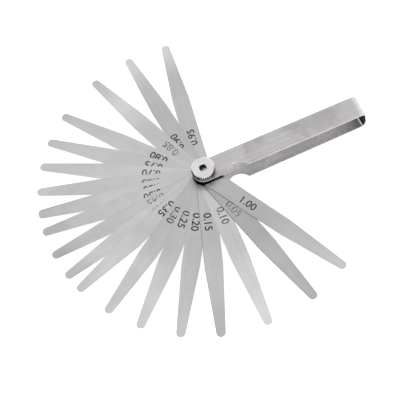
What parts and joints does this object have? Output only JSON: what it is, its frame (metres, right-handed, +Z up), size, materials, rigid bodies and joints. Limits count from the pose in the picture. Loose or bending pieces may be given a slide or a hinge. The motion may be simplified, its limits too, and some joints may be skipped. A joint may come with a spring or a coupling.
{
  "type": "feeler gauge",
  "caption": "Fanned set of thin tapered steel thickness leaves pivoting on a screw in a folded steel sheath, clamped by a knurled nut.",
  "frame": {"origin": "centre of the pivot screw head's flat underside, on the pivot axis", "axes": "+Z up the pivot screw towards the nut, +X along the sheath away from the pivot"},
  "size_m": [0.1923, 0.1894, 0.0217],
  "materials": {
    "leaf_steel": "satin, lightly oiled",
    "sheath_steel": "satin, rolled",
    "nut_nickel": "bright nickel",
    "screw_steel": "turned"
  },
  "bodies": {
    "handle": {"sheath": "sheath_steel", "pivot_screw": "screw_steel"},
    "nut": {"knurled_nut": "nut_nickel"},
    "leaf_0_95": {"leaf_0_95": "leaf_steel"},
    "leaf_0_90": {"leaf_0_90": "leaf_steel"},
    "leaf_0_85": {"leaf_0_85": "leaf_steel"},
    "leaf_0_80": {"leaf_0_80": "leaf_steel"},
    "leaf_0_75": {"leaf_0_75": "leaf_steel"},
    "leaf_0_70": {"leaf_0_70": "leaf_steel"},
    "leaf_0_65": {"leaf_0_65": "leaf_steel"},
    "leaf_0_60": {"leaf_0_60": "leaf_steel"},
    "leaf_0_55": {"leaf_0_55": "leaf_steel"},
    "leaf_0_50": {"leaf_0_50": "leaf_steel"},
    "leaf_0_45": {"leaf_0_45": "leaf_steel"},
    "leaf_0_40": {"leaf_0_40": "leaf_steel"},
    "leaf_0_35": {"leaf_0_35": "leaf_steel"},
    "leaf_0_30": {"leaf_0_30": "leaf_steel"},
    "leaf_0_25": {"leaf_0_25": "leaf_steel"},
    "leaf_0_20": {"leaf_0_20": "leaf_steel"},
    "leaf_0_15": {"leaf_0_15": "leaf_steel"},
    "leaf_0_10": {"leaf_0_10": "leaf_steel"},
    "leaf_0_05": {"leaf_0_05": "leaf_steel"},
    "leaf_1_00": {"leaf_1_00": "leaf_steel"}
  },
  "joints": [
    {"name": "nut_turn", "type": "hinge", "parent": "handle", "child": "nut", "pos_m": [0, 0, 0.0195], "axis": [0, 0, 1], "range_deg": [0, 180]},
    {"name": "leaf_0_95_swing", "type": "hinge", "parent": "handle", "child": "leaf_0_95", "pos_m": [0, 0, 0.0095], "axis": [0, 0, 1], "range_deg": [-81.5, 278.5]},
    {"name": "leaf_0_90_swing", "type": "hinge", "parent": "handle", "child": "leaf_0_90", "pos_m": [0, 0, 0.0095], "axis": [0, 0, 1], "range_deg": [-96, 264]},
    {"name": "leaf_0_85_swing", "type": "hinge", "parent": "handle", "child": "leaf_0_85", "pos_m": [0, 0, 0.0095], "axis": [0, 0, 1], "range_deg": [-111, 249]},
    {"name": "leaf_0_80_swing", "type": "hinge", "parent": "handle", "child": "leaf_0_80", "pos_m": [0, 0, 0.0095], "axis": [0, 0, 1], "range_deg": [-128.5, 231.5]},
    {"name": "leaf_0_75_swing", "type": "hinge", "parent": "handle", "child": "leaf_0_75", "pos_m": [0, 0, 0.0095], "axis": [0, 0, 1], "range_deg": [-140, 220]},
    {"name": "leaf_0_70_swing", "type": "hinge", "parent": "handle", "child": "leaf_0_70", "pos_m": [0, 0, 0.0095], "axis": [0, 0, 1], "range_deg": [-150, 210]},
    {"name": "leaf_0_65_swing", "type": "hinge", "parent": "handle", "child": "leaf_0_65", "pos_m": [0, 0, 0.0095], "axis": [0, 0, 1], "range_deg": [-160, 200]},
    {"name": "leaf_0_60_swing", "type": "hinge", "parent": "handle", "child": "leaf_0_60", "pos_m": [0, 0, 0.0095], "axis": [0, 0, 1], "range_deg": [-168.5, 191.5]},
    {"name": "leaf_0_55_swing", "type": "hinge", "parent": "handle", "child": "leaf_0_55", "pos_m": [0, 0, 0.0095], "axis": [0, 0, 1], "range_deg": [-169, 191]},
    {"name": "leaf_0_50_swing", "type": "hinge", "parent": "handle", "child": "leaf_0_50", "pos_m": [0, 0, 0.0095], "axis": [0, 0, 1], "range_deg": [-176, 184]},
    {"name": "leaf_0_45_swing", "type": "hinge", "parent": "handle", "child": "leaf_0_45", "pos_m": [0, 0, 0.0095], "axis": [0, 0, 1], "range_deg": [-185.5, 174.5]},
    {"name": "leaf_0_40_swing", "type": "hinge", "parent": "handle", "child": "leaf_0_40", "pos_m": [0, 0, 0.0095], "axis": [0, 0, 1], "range_deg": [-194.5, 165.5]},
    {"name": "leaf_0_35_swing", "type": "hinge", "parent": "handle", "child": "leaf_0_35", "pos_m": [0, 0, 0.0095], "axis": [0, 0, 1], "range_deg": [-201, 159]},
    {"name": "leaf_0_30_swing", "type": "hinge", "parent": "handle", "child": "leaf_0_30", "pos_m": [0, 0, 0.0095], "axis": [0, 0, 1], "range_deg": [-213.5, 146.5]},
    {"name": "leaf_0_25_swing", "type": "hinge", "parent": "handle", "child": "leaf_0_25", "pos_m": [0, 0, 0.0095], "axis": [0, 0, 1], "range_deg": [-225.5, 134.5]},
    {"name": "leaf_0_20_swing", "type": "hinge", "parent": "handle", "child": "leaf_0_20", "pos_m": [0, 0, 0.0095], "axis": [0, 0, 1], "range_deg": [-239, 121]},
    {"name": "leaf_0_15_swing", "type": "hinge", "parent": "handle", "child": "leaf_0_15", "pos_m": [0, 0, 0.0095], "axis": [0, 0, 1], "range_deg": [-252, 108]},
    {"name": "leaf_0_10_swing", "type": "hinge", "parent": "handle", "child": "leaf_0_10", "pos_m": [0, 0, 0.0095], "axis": [0, 0, 1], "range_deg": [-267.5, 92.5]},
    {"name": "leaf_0_05_swing", "type": "hinge", "parent": "handle", "child": "leaf_0_05", "pos_m": [0, 0, 0.0095], "axis": [0, 0, 1], "range_deg": [-284.5, 75.5]},
    {"name": "leaf_1_00_swing", "type": "hinge", "parent": "handle", "child": "leaf_1_00", "pos_m": [0, 0, 0.0095], "axis": [0, 0, 1], "range_deg": [-298.5, 61.5]}
  ]
}
